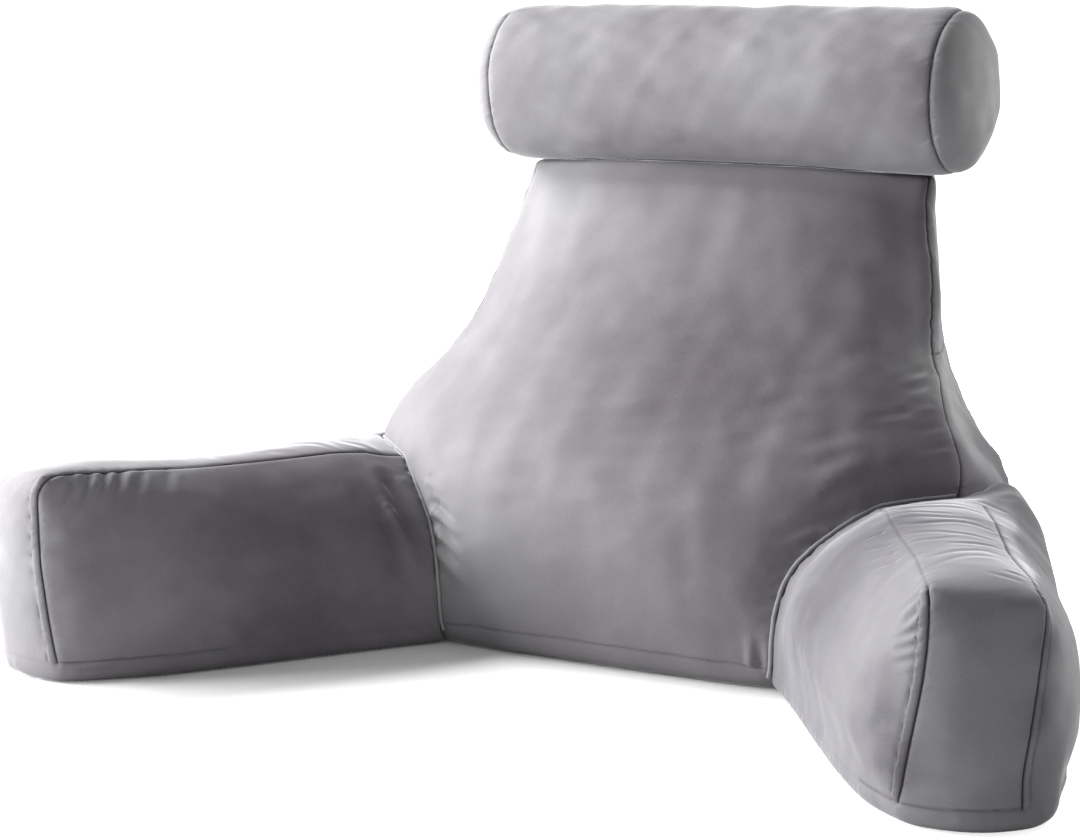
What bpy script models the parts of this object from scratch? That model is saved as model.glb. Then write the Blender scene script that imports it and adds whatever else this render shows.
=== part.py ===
"""Reading pillow with arms: a leaning backrest, two splayed arms and a neck roll, all filled cloth.

Metres, +Z up.  The origin is on the surface it rests on, under the middle of the backrest.
The sitter faces -Y, and the arms reach forward to -Y, one on each side.
"""
import math

import bmesh
import bpy
from mathutils import Vector
from mathutils.bvhtree import BVHTree

# ---- driving sizes ----
CLEARANCE = 0.0003          # gap that is left between two pieces that touch
SWELL = 0.0005              # how far the backrest is swollen where it trims an arm
BASE_CREASE = 0.8           # how sharp the flat base is cut
SEAM_CREASE = 0.45          # how sharp a sewn edge of a panel is

# backrest: level sections, floor to top
BACKREST_SHARES = (-1.0, -0.86, -0.66, -0.36, 0.0, 0.36, 0.66, 0.86, 1.0)   # of the half width
BACKREST_CELLS_DEEP = 3
BACKREST_TOP_CROWN = 0.016
BACKREST_TOP_ARCH = 0.006
BACKREST_SIDE_CROWN = 0.004
BACKREST_COLUMNS = ("height", "half_front", "edge_front", "crown_front", "power",
                    "half_rear", "edge_rear", "crown_rear")
BACKREST_ROWS = (
    (0.000, 0.296, 0.004, 0.092, 6.0, 0.280, 0.104, 0.012),
    (0.009, 0.312, -0.001, 0.100, 6.0, 0.298, 0.120, 0.018),
    (0.020, 0.314, -0.002, 0.101, 6.0, 0.302, 0.124, 0.020),
    (0.070, 0.318, -0.001, 0.113, 4.4, 0.310, 0.139, 0.028),
    (0.130, 0.320, 0.004, 0.113, 3.8, 0.318, 0.155, 0.032),
    (0.186, 0.322, 0.014, 0.100, 3.8, 0.320, 0.172, 0.034),
    (0.240, 0.287, 0.060, 0.088, 3.2, 0.255, 0.189, 0.034),
    (0.295, 0.249, 0.102, 0.076, 2.6, 0.213, 0.205, 0.032),
    (0.350, 0.240, 0.129, 0.058, 2.4, 0.206, 0.220, 0.028),
    (0.410, 0.228, 0.153, 0.044, 2.4, 0.198, 0.236, 0.022),
    (0.458, 0.218, 0.177, 0.034, 2.4, 0.190, 0.244, 0.012),
)

# arm: sections across its length, rear to front
ARM_SPLAY = math.radians(27.0)      # how far an arm turns out from straight ahead
ARM_CELLS_WIDE = 4
ARM_CURL_HEIGHTS = (0.0, 0.009, 0.020)      # base panel: floor, widest line, seam
ARM_CURL_OFFSETS = (-0.010, 0.004, 0.0)     # how far it stands out from that seam
ARM_LEVELS = (0.0, 0.34, 0.66, 0.88, 1.0)   # bottom seam to top seam, as shares of the height
ARM_TOP_CROWN = 0.004
ARM_FRONT_CURL = (-0.008, 0.004, 0.002)     # the front corners at the base panel's three lines
ARM_FRONT_BULGES = (0.014, 0.020, 0.016, 0.017, 0.013, 0.008, 0.0)  # front middle, floor to top
ARM_COLUMNS = ("reach", "skew", "base_in", "base_out", "top_in", "top_out", "power_in", "power_out",
               "top_height", "top_drop", "crown_in", "crown_out")
ARM_ROWS = (
    (0.100, -0.074, 0.104, 0.322, 0.206, 0.314, 3.8, 9.0, 0.176, 0.006, 0.002, 0.004),
    (0.165, -0.078, 0.116, 0.363, 0.214, 0.352, 3.8, 9.0, 0.180, -0.003, 0.003, 0.006),
    (0.230, -0.050, 0.127, 0.357, 0.214, 0.325, 3.2, 8.0, 0.184, 0.003, 0.009, 0.008),
    (0.305, -0.014, 0.137, 0.352, 0.214, 0.312, 2.7, 7.0, 0.186, 0.006, 0.015, 0.010),
    (0.380, 0.000, 0.147, 0.349, 0.214, 0.306, 2.2, 6.0, 0.187, 0.006, 0.018, 0.010),
    (0.450, 0.002, 0.159, 0.340, 0.214, 0.304, 1.8, 5.0, 0.190, 0.006, 0.016, 0.010),
    (0.505, 0.004, 0.173, 0.322, 0.213, 0.303, 1.5, 3.0, 0.193, 0.007, 0.010, 0.008),
    (0.538, 0.006, 0.190, 0.298, 0.212, 0.303, 1.2, 1.5, 0.192, 0.008, 0.004, 0.003),
)

# neck roll: a tube with a domed disc sewn into each end
ROLL_RADIUS = 0.0780
ROLL_SEAM_RADIUS = 0.0740
ROLL_HALF_LENGTH = 0.2425           # middle to the seam of an end disc
ROLL_SHOULDER = 0.030               # length over which the tube draws in to that seam
ROLL_DOME = 0.028
ROLL_CENTRE = (0.0, 0.180, 0.5377)
ROLL_STEPS = 32
ROLL_DOME_POINTS = 6

# welt: a narrow folded strip of the cover, sewn in where an arm meets the backrest
WELT_RADIUS = 0.0024
WELT_SPACING = 0.010
WELT_TURNS = 80             # rounds of settling it into its groove
WELT_SMOOTH_TURNS = 60      # of them, rounds that also even it out
WELT_STEP = 0.3
WELT_SMOOTHING = 0.2
WELT_ROUTE = (
    (0.172, -0.108, 0.010), (0.174, -0.110, 0.045), (0.177, -0.110, 0.080),
    (0.186, -0.104, 0.115), (0.200, -0.098, 0.145), (0.227, -0.084, 0.172),
    (0.254, -0.062, 0.186), (0.287, -0.018, 0.196), (0.314, 0.010, 0.200),
)

LEFT, RIGHT = -1, 1
VELVET_GREY = (0.36, 0.34, 0.36, 1.0)
VELVET_ROUGHNESS = 0.85


def clear_scene():
    for thing in list(bpy.data.objects):
        bpy.data.objects.remove(thing, do_unlink=True)


def new_collection(name):
    collection = bpy.data.collections.new(name)
    bpy.context.scene.collection.children.link(collection)
    return collection


def velvet(name):
    material = bpy.data.materials.new(name)
    material.use_nodes = True
    surface = material.node_tree.nodes["Principled BSDF"]
    surface.inputs["Base Color"].default_value = VELVET_GREY
    surface.inputs["Roughness"].default_value = VELVET_ROUGHNESS
    surface.inputs["Metallic"].default_value = 0.0
    return material


def blend(low, high, share):
    return low + (high - low) * share


def named_rows(columns, rows):
    return [dict(zip(columns, row)) for row in rows]


def block_cage(cells, place):
    """A block of cells whose outer points are each moved to place(i, j, k)."""
    cage = bmesh.new()
    bmesh.ops.create_cube(cage, size=2.0)
    for axis, count in enumerate(cells):
        along = [e for e in cage.edges
                 if abs(e.verts[0].co[axis] - e.verts[1].co[axis]) > 0.5]
        bmesh.ops.subdivide_edges(cage, edges=along, cuts=count - 1, use_grid_fill=True)
    index = {v: tuple(round((v.co[a] + 1.0) / 2.0 * cells[a]) for a in range(3)) for v in cage.verts}
    for vertex, spot in index.items():
        vertex.co = Vector(place(*spot))
    return cage, index


def crease_edges(cage, index, sharpness):
    """Sets each edge's crease from sharpness(spot, spot) of its two ends."""
    layer = cage.edges.layers.float.new("crease_edge")
    for edge in cage.edges:
        first, second = (index[v] for v in edge.verts)
        edge[layer] = sharpness(first, second)


def add_object(name, mesh, collection, material=None):
    thing = bpy.data.objects.new(name, mesh)
    collection.objects.link(thing)
    if material:
        mesh.materials.append(material)
    return thing


def mesh_from_cage(name, cage):
    bmesh.ops.recalc_face_normals(cage, faces=cage.faces)
    mesh = bpy.data.meshes.new(name)
    cage.to_mesh(mesh)
    cage.free()
    mesh.shade_smooth()
    return mesh


def soften(thing):
    """Rounds the cage off, then splits its faces the same way each time, so that copies mate."""
    rounding = thing.modifiers.new("rounding", "SUBSURF")
    rounding.levels = 1
    rounding.render_levels = 1
    split = thing.modifiers.new("split", "TRIANGULATE")
    split.quad_method = "FIXED"


def trim(thing, cutter):
    cut = thing.modifiers.new("trim", "BOOLEAN")
    cut.operation = "DIFFERENCE"
    cut.solver = "EXACT"
    cut.object = cutter


def as_guide(thing):
    thing.hide_render = True
    thing.display_type = "WIRE"


# ---- backrest ----
def backrest_mesh(name):
    rows = named_rows(BACKREST_COLUMNS, BACKREST_ROWS)
    wide = len(BACKREST_SHARES) - 1
    top = len(rows) - 1

    def place(i, j, k):
        row = rows[k]
        across = BACKREST_SHARES[i]
        depth = j / BACKREST_CELLS_DEEP
        middle = 4.0 * depth * (1.0 - depth)
        half = blend(row["half_front"], row["half_rear"], depth) + BACKREST_SIDE_CROWN * middle
        front = row["edge_front"] - row["crown_front"] * (1.0 - abs(across) ** row["power"])
        rear = row["edge_rear"] + row["crown_rear"] * (1.0 - across ** 2)
        height = row["height"]
        if k == top:
            height += (BACKREST_TOP_ARCH + BACKREST_TOP_CROWN * middle) * (1.0 - across ** 2)
        return across * half, blend(front, rear, depth), height

    cage, index = block_cage((wide, BACKREST_CELLS_DEEP, top), place)

    def sharpness(first, second):
        if first[2] == second[2] == 0 and on_rim(first, second, 0, wide, 1, BACKREST_CELLS_DEEP):
            return BASE_CREASE
        sides = same_end(first, second, 0, wide)
        faces = same_end(first, second, 1, BACKREST_CELLS_DEEP)
        ends = same_end(first, second, 2, top)
        if sides + faces + ends >= 2:
            return SEAM_CREASE
        return 0.0

    crease_edges(cage, index, sharpness)
    return mesh_from_cage(name, cage)


def same_end(first, second, axis, last):
    return first[axis] == second[axis] and first[axis] in (0, last)


def on_rim(first, second, axis_a, last_a, axis_b, last_b):
    return same_end(first, second, axis_a, last_a) or same_end(first, second, axis_b, last_b)


# ---- arms ----
def arm_mesh(name, side):
    rows = named_rows(ARM_COLUMNS, ARM_ROWS)
    front = len(rows) - 1
    seam = len(ARM_CURL_HEIGHTS) - 1
    top = seam + len(ARM_LEVELS) - 1
    ahead = Vector((side * math.sin(ARM_SPLAY), -math.cos(ARM_SPLAY)))
    outward = Vector((side * math.cos(ARM_SPLAY), math.sin(ARM_SPLAY)))

    def place(i, j, k):
        row = rows[i]
        across = j / ARM_CELLS_WIDE
        share = ARM_LEVELS[max(k - seam, 0)]
        curl = min(k, seam)
        swell = 4.0 * share * (1.0 - share)
        middle = 4.0 * across * (1.0 - across)
        inner = blend(row["base_in"], row["top_in"], share ** row["power_in"])
        inner -= row["crown_in"] * swell + ARM_CURL_OFFSETS[curl]
        outer = blend(row["base_out"], row["top_out"], share ** row["power_out"])
        outer += row["crown_out"] * swell + ARM_CURL_OFFSETS[curl]
        reach = row["reach"] + row["skew"] * across
        if i == front:
            reach += ARM_FRONT_BULGES[k] * middle + ARM_FRONT_CURL[curl]
        top_height = row["top_height"] - row["top_drop"] * across
        height = blend(ARM_CURL_HEIGHTS[curl], top_height, share)
        if k == top:
            height += ARM_TOP_CROWN * middle
        spot = ahead * reach + outward * blend(inner, outer, across)
        return spot.x, spot.y, height

    cage, index = block_cage((front, ARM_CELLS_WIDE, top), place)

    def sharpness(first, second):
        if first[2] == second[2] == 0 and on_rim(first, second, 0, front, 1, ARM_CELLS_WIDE):
            return BASE_CREASE
        ends = same_end(first, second, 0, front)
        sides = same_end(first, second, 1, ARM_CELLS_WIDE)
        levels = same_end(first, second, 2, top)
        if sides + levels == 2 or sides + ends == 2 or first[2] == second[2] == seam:
            return SEAM_CREASE
        return 0.0

    crease_edges(cage, index, sharpness)
    return mesh_from_cage(name, cage)


# ---- neck roll ----
def roll_profile(extra):
    """Half outline of the roll as (x, radius), right pole to left pole."""
    dome = []
    for step in range(ROLL_DOME_POINTS):
        turn = math.pi / 2.0 * step / ROLL_DOME_POINTS
        dome.append((ROLL_HALF_LENGTH + (ROLL_DOME + extra) * math.cos(turn),
                     (ROLL_SEAM_RADIUS + extra) * math.sin(turn)))
    body = [
        (ROLL_HALF_LENGTH, ROLL_SEAM_RADIUS + extra),
        (ROLL_HALF_LENGTH - ROLL_SHOULDER * 0.4, blend(ROLL_SEAM_RADIUS, ROLL_RADIUS, 0.75) + extra),
        (ROLL_HALF_LENGTH - ROLL_SHOULDER, ROLL_RADIUS + extra),
        (ROLL_HALF_LENGTH / 2.0, ROLL_RADIUS + extra),
    ]
    right = dome + body
    return right + [(0.0, ROLL_RADIUS + extra)] + [(-x, r) for x, r in reversed(right)]


def turned_roll(name, collection, extra=0.0, material=None):
    outline = roll_profile(extra)
    mesh = bpy.data.meshes.new(name)
    mesh.from_pydata([(x, 0.0, r) for x, r in outline],
                     [(n, n + 1) for n in range(len(outline) - 1)], [])
    roll = add_object(name, mesh, collection, material)
    roll.location = ROLL_CENTRE
    turn = roll.modifiers.new("turn", "SCREW")
    turn.axis = "X"
    turn.steps = ROLL_STEPS
    turn.render_steps = ROLL_STEPS
    turn.use_merge_vertices = True
    turn.merge_threshold = 0.0001
    turn.use_smooth_shade = True
    return roll


# ---- welts ----
def smooth_route(points, spacing):
    """Even points along a smooth curve through the given ones."""
    curve = []
    for n in range(len(points) - 1):
        before, start = points[max(n - 1, 0)], points[n]
        end, after = points[n + 1], points[min(n + 2, len(points) - 1)]
        steps = max(2, round((end - start).length / spacing))
        for step in range(steps):
            t = step / steps
            curve.append(0.5 * (2.0 * start + (end - before) * t
                                + (2.0 * before - 5.0 * start + 4.0 * end - after) * t ** 2
                                + (3.0 * start - before - 3.0 * end + after) * t ** 3))
    curve.append(points[-1])
    return curve


def settle(points, surfaces, distance):
    """Moves the points to where they are that distance from both surfaces, in the groove between."""
    for turn in range(WELT_TURNS):
        if turn < WELT_SMOOTH_TURNS:
            for before, point, after in zip(points, points[1:], points[2:]):
                point += ((before + after) / 2.0 - point) * WELT_SMOOTHING
        for point in points:
            for surface in surfaces:
                near, normal, _face, _gap = surface.find_nearest(point)
                missing = distance - (point - near).dot(normal)
                point += normal * missing * (WELT_STEP if missing < 0.0 else 1.0)


def surface_of(thing):
    shaped = thing.evaluated_get(bpy.context.evaluated_depsgraph_get())
    probe = bmesh.new()
    probe.from_mesh(shaped.to_mesh())
    probe.transform(thing.matrix_world)
    surface = BVHTree.FromBMesh(probe)
    probe.free()
    shaped.to_mesh_clear()
    return surface


def welt(name, side, surfaces, collection, material):
    corners = [Vector((side * x, y, z)) for x, y, z in WELT_ROUTE]
    points = smooth_route(corners, WELT_SPACING)
    settle(points, surfaces, WELT_RADIUS + 2.0 * CLEARANCE)
    curve = bpy.data.curves.new(name, "CURVE")
    curve.dimensions = "3D"
    curve.bevel_depth = WELT_RADIUS
    curve.bevel_resolution = 2
    curve.use_fill_caps = True
    spline = curve.splines.new("POLY")
    spline.points.add(len(points) - 1)
    for spot, point in zip(spline.points, points):
        spot.co = (*point, 1.0)
    return add_object(name, curve, collection, material)


def build():
    clear_scene()
    pillow = new_collection("reading_pillow")
    cutters = new_collection("cutters")

    roll_seat = turned_roll("roll_seat", cutters, extra=CLEARANCE)
    as_guide(roll_seat)
    backrest = add_object("backrest", backrest_mesh("backrest"), pillow, velvet("velvet_backrest"))
    soften(backrest)
    bpy.context.view_layer.update()
    backrest_surface = surface_of(backrest)
    trim(backrest, roll_seat)
    turned_roll("neck_roll", pillow, material=velvet("velvet_roll"))

    swollen = add_object("swollen_backrest", backrest_mesh("swollen_backrest"), cutters)
    soften(swollen)
    swell = swollen.modifiers.new("swell", "DISPLACE")
    swell.strength = SWELL
    swell.mid_level = 0.0
    as_guide(swollen)

    for side, word in ((LEFT, "left"), (RIGHT, "right")):
        arm = add_object("arm_" + word, arm_mesh("arm_" + word, side), pillow,
                         velvet("velvet_arm_" + word))
        soften(arm)
        bpy.context.view_layer.update()
        surfaces = (backrest_surface, surface_of(arm))
        trim(arm, swollen)
        welt("welt_" + word, side, surfaces, pillow, velvet("velvet_welt_" + word))


build()
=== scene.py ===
import math

import bmesh
import bpy
import numpy as np
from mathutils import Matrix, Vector
from mathutils.bvhtree import BVHTree


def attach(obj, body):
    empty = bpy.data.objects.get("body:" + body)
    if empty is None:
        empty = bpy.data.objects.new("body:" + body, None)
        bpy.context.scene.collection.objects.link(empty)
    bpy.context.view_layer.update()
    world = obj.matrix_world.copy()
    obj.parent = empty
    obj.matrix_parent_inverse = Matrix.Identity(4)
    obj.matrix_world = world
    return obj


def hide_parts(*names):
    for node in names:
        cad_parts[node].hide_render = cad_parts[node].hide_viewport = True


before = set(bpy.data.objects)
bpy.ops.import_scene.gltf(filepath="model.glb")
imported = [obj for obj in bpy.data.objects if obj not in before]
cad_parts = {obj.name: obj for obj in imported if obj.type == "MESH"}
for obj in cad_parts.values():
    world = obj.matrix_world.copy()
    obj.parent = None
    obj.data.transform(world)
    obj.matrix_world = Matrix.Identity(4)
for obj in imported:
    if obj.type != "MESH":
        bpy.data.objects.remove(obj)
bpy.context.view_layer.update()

# ---- studio ----
# A white floor without an edge, two large soft lights on the left, one low and one high, and
# a weak one behind the right arm. The floor has painted light: a glow seen only by the camera, weak near
# shade_middle and full white from shade_reach on, which hides its shadow away from there. None of it belongs
# to the pillow.
floor_half = 60.0
paper_white = (0.8, 0.8, 0.8, 1.0)
paper_roughness, paper_shine = 0.9, 0.1
paper_glow = 0.01
shade_middle = (-0.15, -0.1, 0.0)
shade_reach = (0.3, 0.8)
room_light = 0.47
light_aim = (0.0, 0.0, 0.22)
light_distance = 2.7
light_size = 1.3
# Name, degrees round to the left of the front, degrees up, power in watts.
lights = (("low", 60.0, 12.0, 146.0), ("high", 90.0, 35.0, 164.0), ("behind", -150.0, 30.0, 52.0))
camera_lens, camera_film = 86.67, 36.0
camera_place = (1.119, -2.217, 0.668)
camera_tilt, camera_turn = 79.9, 29.2


def soft_light(name, side, height, power):
    """A round light, aimed at the pillow, side degrees round to the left of its front."""
    side, height = math.radians(side), math.radians(height)
    level = math.cos(height)
    towards = Vector((-math.sin(side) * level, -math.cos(side) * level, math.sin(height)))
    data = bpy.data.lights.new(name, "AREA")
    data.shape = "DISK"
    data.size = light_size
    data.energy = power
    light = bpy.data.objects.new(name, data)
    bpy.context.scene.collection.objects.link(light)
    light.location = Vector(light_aim) + towards * light_distance
    light.rotation_euler = towards.to_track_quat("Z", "Y").to_euler()


def wire(tree, source, target):
    tree.links.new(source, target)


paper = bpy.data.meshes.new("floor")
paper.from_pydata([(x * floor_half, y * floor_half, 0.0) for x, y in ((-1, -1), (1, -1), (1, 1), (-1, 1))],
                  [], [(0, 1, 2, 3)])
floor = bpy.data.objects.new("floor", paper)
bpy.context.scene.collection.objects.link(floor)
floor.location.z = -0.0005

white = bpy.data.materials.new("white_paper")
white.use_nodes = True
nodes = white.node_tree.nodes
surface = nodes["Principled BSDF"]
surface.inputs["Base Color"].default_value = paper_white
surface.inputs["Roughness"].default_value = paper_roughness
surface.inputs["Specular IOR Level"].default_value = paper_shine
# Painted light: the floor glows for the camera only, more away from shade_middle, and hides its shadow there.
glow = nodes.new("ShaderNodeEmission")
far_off = nodes.new("ShaderNodeVectorMath")
far_off.operation = "LENGTH"
from_shade = nodes.new("ShaderNodeVectorMath")
from_shade.operation = "SUBTRACT"
from_shade.inputs[1].default_value = shade_middle
wire(white.node_tree, nodes.new("ShaderNodeTexCoord").outputs["Object"], from_shade.inputs[0])
wire(white.node_tree, from_shade.outputs["Vector"], far_off.inputs[0])
brighter = nodes.new("ShaderNodeMapRange")
for socket, value in zip(("From Min", "From Max", "To Min", "To Max"), (*shade_reach, paper_glow, 1.0)):
    brighter.inputs[socket].default_value = value
wire(white.node_tree, far_off.outputs["Value"], brighter.inputs["Value"])
wire(white.node_tree, brighter.outputs["Result"], glow.inputs["Strength"])
seen = nodes.new("ShaderNodeLightPath")
only_seen = nodes.new("ShaderNodeMixShader")
both = nodes.new("ShaderNodeAddShader")
no_glow = nodes.new("ShaderNodeEmission")
no_glow.inputs["Strength"].default_value = 0.0
wire(white.node_tree, seen.outputs["Is Camera Ray"], only_seen.inputs[0])
wire(white.node_tree, no_glow.outputs[0], only_seen.inputs[1])
wire(white.node_tree, glow.outputs[0], only_seen.inputs[2])
wire(white.node_tree, surface.outputs[0], both.inputs[0])
wire(white.node_tree, only_seen.outputs[0], both.inputs[1])
wire(white.node_tree, both.outputs[0], nodes["Material Output"].inputs["Surface"])
paper.materials.append(white)

for light in lights:
    soft_light(*light)

world = bpy.data.worlds.new("room")
world.use_nodes = True
room = world.node_tree.nodes
room["Background"].inputs["Color"].default_value = (1.0, 1.0, 1.0, 1.0)
room["Background"].inputs["Strength"].default_value = room_light
open_air = room.new("ShaderNodeBackground")
open_air.inputs["Color"].default_value = (1.0, 1.0, 1.0, 1.0)
to_camera = room.new("ShaderNodeMixShader")
ray_kind = room.new("ShaderNodeLightPath")
wire(world.node_tree, ray_kind.outputs["Is Camera Ray"], to_camera.inputs[0])
wire(world.node_tree, room["Background"].outputs[0], to_camera.inputs[1])
wire(world.node_tree, open_air.outputs[0], to_camera.inputs[2])
wire(world.node_tree, to_camera.outputs[0], room["World Output"].inputs["Surface"])
bpy.context.scene.world = world

camera_data = bpy.data.cameras.new("camera")
camera_data.sensor_width = camera_film
camera_data.lens = camera_lens
camera = bpy.data.objects.new("camera", camera_data)
bpy.context.scene.collection.objects.link(camera)
camera.location = camera_place
camera.rotation_euler = (math.radians(camera_tilt), 0.0, math.radians(camera_turn))
bpy.context.scene.camera = camera
bpy.context.scene.view_settings.view_transform = "Standard"

# ---- backrest ----
# The leaning cushion: a front panel, two side gussets, a back panel, a top strip and a base, cut
# from grey plush velvet, seamed inside out, turned and filled with loose fibre.
LEFT, RIGHT = -1, 1
backrest_voxel = 0.0085
backrest_swell = 0.005
backrest_outset = 0.002
backrest_unevenness = 0.0006
plush_dark = (0.058, 0.0465, 0.0585, 1.0)
plush_light = (0.228, 0.226, 0.232, 1.0)
# The colour of painted shade: in seam creases, in stitch grooves and where cushions press together.
painted_crease_shade = (0.02, 0.018, 0.022, 1.0)
side_seam = ((0.214, 0.178, 0.456), (0.219, 0.163, 0.429), (0.231, 0.141, 0.373), (0.240, 0.116, 0.318),
             (0.247, 0.100, 0.290), (0.259, 0.087, 0.268), (0.274, 0.071, 0.247), (0.289, 0.055, 0.227),
             (0.306, 0.038, 0.207), (0.321, 0.012, 0.186), (0.325, 0.002, 0.176))
gusset_seam = ((0.247, 0.100, 0.291), (0.238, 0.140, 0.291), (0.222, 0.190, 0.291))
back_side_seam = ((0.192, 0.244, 0.458), (0.199, 0.234, 0.410), (0.207, 0.219, 0.350),
                  (0.216, 0.203, 0.295), (0.255, 0.187, 0.240), (0.312, 0.170, 0.186),
                  (0.314, 0.152, 0.130), (0.308, 0.136, 0.070), (0.300, 0.121, 0.020))
front_base_seam = ((-0.172, -0.098, 0.022), (-0.09, -0.103, 0.023), (0.0, -0.104, 0.024),
                   (0.09, -0.103, 0.023), (0.172, -0.098, 0.022))
back_base_seam = ((-0.300, 0.121, 0.020), (-0.15, 0.138, 0.020), (0.0, 0.144, 0.020), (0.15, 0.138, 0.020),
                  (0.300, 0.121, 0.020))
back_top_seam = ((-0.19, 0.246, 0.458), (0.0, 0.256, 0.462), (0.19, 0.246, 0.458))

# Folds on the front: across and height where each starts, then where it dies out, how far it
# stands up (or lies in, below 0), and its half width.  First those pulled out of the left welt.
front_folds = (
    ((-0.207, 0.156), (-0.176, 0.149), 0.0019, 0.0040),
    ((-0.195, 0.140), (-0.157, 0.128), -0.0021, 0.0040),
    ((-0.193, 0.131), (-0.148, 0.112), 0.0033, 0.0045),
    ((-0.189, 0.123), (-0.152, 0.106), -0.0030, 0.0040),
    ((-0.185, 0.115), (-0.152, 0.091), 0.0030, 0.0045),
    ((-0.182, 0.104), (-0.152, 0.084), -0.0029, 0.0040),
    ((-0.181, 0.094), (-0.136, 0.064), 0.0036, 0.0050),
    ((-0.179, 0.080), (-0.145, 0.052), -0.0018, 0.0055),
    # from the right welt
    ((0.236, 0.166), (0.180, 0.149), -0.0016, 0.0060),
    ((0.222, 0.153), (0.183, 0.140), 0.0012, 0.0045),
    ((0.213, 0.145), (0.177, 0.127), -0.0024, 0.0050),
    ((0.202, 0.131), (0.171, 0.114), -0.0024, 0.0045),
    ((0.196, 0.121), (0.168, 0.105), -0.0019, 0.0040),
    ((0.189, 0.108), (0.165, 0.094), -0.0022, 0.0045),
    ((0.183, 0.092), (0.162, 0.081), -0.0019, 0.0050),
    ((0.178, 0.070), (0.158, 0.060), -0.0012, 0.0060),
    # upright, where the front meets the right welt and the base
    ((0.156, 0.024), (0.156, 0.052), 0.0020, 0.0040),
    ((0.166, 0.024), (0.165, 0.056), -0.0024, 0.0042),
    ((0.173, 0.022), (0.174, 0.050), 0.0018, 0.0030),
    # short ones, pulled in by the right side seam
    ((0.253, 0.282), (0.230, 0.276), -0.0010, 0.0041),
    ((0.258, 0.271), (0.240, 0.266), -0.0008, 0.0037),
    ((0.262, 0.263), (0.246, 0.260), 0.0008, 0.0037),
    ((0.268, 0.255), (0.252, 0.253), -0.0008, 0.0037),
    ((0.253, 0.249), (0.221, 0.244), -0.0010, 0.0046),
    ((0.282, 0.236), (0.258, 0.232), -0.0008, 0.0041),
    ((0.294, 0.220), (0.268, 0.217), -0.0008, 0.0041))
# Long shallow pulls across the belly, which end free on both sides.
belly_folds = (
    ((0.128, 0.272), (0.107, 0.261), -0.0005, 0.0080),
    ((0.120, 0.252), (0.098, 0.237), -0.0006, 0.0088),
    ((0.160, 0.261), (0.114, 0.248), -0.0007, 0.0097),
    ((0.188, 0.293), (0.155, 0.277), -0.0005, 0.0097),
    ((0.215, 0.306), (0.186, 0.297), -0.0004, 0.0088),
    ((0.150, 0.230), (0.110, 0.221), -0.0005, 0.0088),
    ((0.242, 0.238), (0.178, 0.226), -0.0006, 0.0084),
    ((0.234, 0.221), (0.196, 0.210), -0.0006, 0.0074),
    ((0.222, 0.212), (0.172, 0.200), -0.0006, 0.0084),
    ((0.246, 0.196), (0.205, 0.186), -0.0004, 0.0088))
# Where the pile is stroked up (lighter) or down, and painted light and shade: lighter on the lit left side,
# darker in the middle and towards the right: side, depth, height, size, amount.
backrest_pile_and_light_strokes = (
    (-0.18, 0.14, 0.42, 0.10, 0.30), (-0.17, -0.09, 0.12, 0.13, 0.30), (-0.24, 0.03, 0.26, 0.09, 0.05),
    (0.06, 0.00, 0.27, 0.12, -0.33), (0.19, 0.14, 0.42, 0.06, -0.20), (0.27, 0.00, 0.21, 0.08, -0.25),
    (0.15, -0.10, 0.12, 0.08, -0.15), (0.13, 0.11, 0.39, 0.04, -0.15), (0.03, -0.11, 0.11, 0.07, 0.16),
    # on the right gusset: painted light, where it faces the light behind the right arm
    (0.27, 0.10, 0.28, 0.03, 1.00), (0.29, 0.10, 0.24, 0.03, 0.65), (0.28, 0.11, 0.255, 0.035, 0.20),
    (0.31, 0.10, 0.20, 0.035, 0.50),
    # on the front again, left of its middle
    (-0.18, 0.01, 0.27, 0.05, 0.10))
# How far the sides stand out, between which heights that sets in, and the share of it left at the top.
left_stand, left_stand_heights, left_top_share = 0.010, (0.17, 0.24), 0.7
right_stand, right_stand_heights, right_top_share = 0.007, (0.235, 0.29), 0.1
top_heights = (0.34, 0.43)
# The right side draws in above its arm, towards the back.
right_dip, dip_height, dip_half_width, dip_depths = 0.0095, 0.208, 0.026, (0.04, 0.13)


def cover_of(node, name):
    """A new object with the node's solid as one joined mesh."""
    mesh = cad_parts[node].data.copy()
    joined = bmesh.new()
    joined.from_mesh(mesh)
    bmesh.ops.remove_doubles(joined, verts=joined.verts, dist=0.00001)
    joined.to_mesh(mesh)
    joined.free()
    mesh.materials.clear()
    cover = bpy.data.objects.new(name, mesh)
    bpy.context.scene.collection.objects.link(cover)
    return cover


def bake_modifiers(cover):
    """Gives the object the mesh that its modifiers make, and drops them."""
    final = cover.evaluated_get(bpy.context.evaluated_depsgraph_get())
    shaped = bpy.data.meshes.new_from_object(final)
    cover.modifiers.clear()
    cover.data = shaped


def remesh(cover, voxel):
    grain = cover.modifiers.new("grain", "REMESH")
    grain.mode = "VOXEL"
    grain.voxel_size = voxel
    bake_modifiers(cover)


def points_of(mesh):
    flat = np.empty(len(mesh.vertices) * 3)
    mesh.vertices.foreach_get("co", flat)
    return flat.reshape(-1, 3)


def normals_of(mesh):
    flat = np.empty(len(mesh.vertices) * 3)
    mesh.vertex_normals.foreach_get("vector", flat)
    return flat.reshape(-1, 3)


def move_points(mesh, points):
    mesh.vertices.foreach_set("co", np.ascontiguousarray(points).ravel())
    mesh.update()


def surface_tree(mesh):
    return BVHTree.FromPolygons([v.co for v in mesh.vertices], [tuple(p.vertices) for p in mesh.polygons])


def averaging(mesh):
    """A function that replaces each point's value by the mean of its neighbours' values."""
    ends = np.empty(len(mesh.edges) * 2, dtype=np.int64)
    mesh.edges.foreach_get("vertices", ends)
    first, second = ends.reshape(-1, 2).T
    count = len(mesh.vertices)
    share = (np.bincount(first, minlength=count) + np.bincount(second, minlength=count))[:, None]

    def mean_of(values):
        total = np.stack([np.bincount(first, values[second, axis], count)
                          + np.bincount(second, values[first, axis], count) for axis in range(3)], axis=1)
        return total / share

    return mean_of


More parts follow.
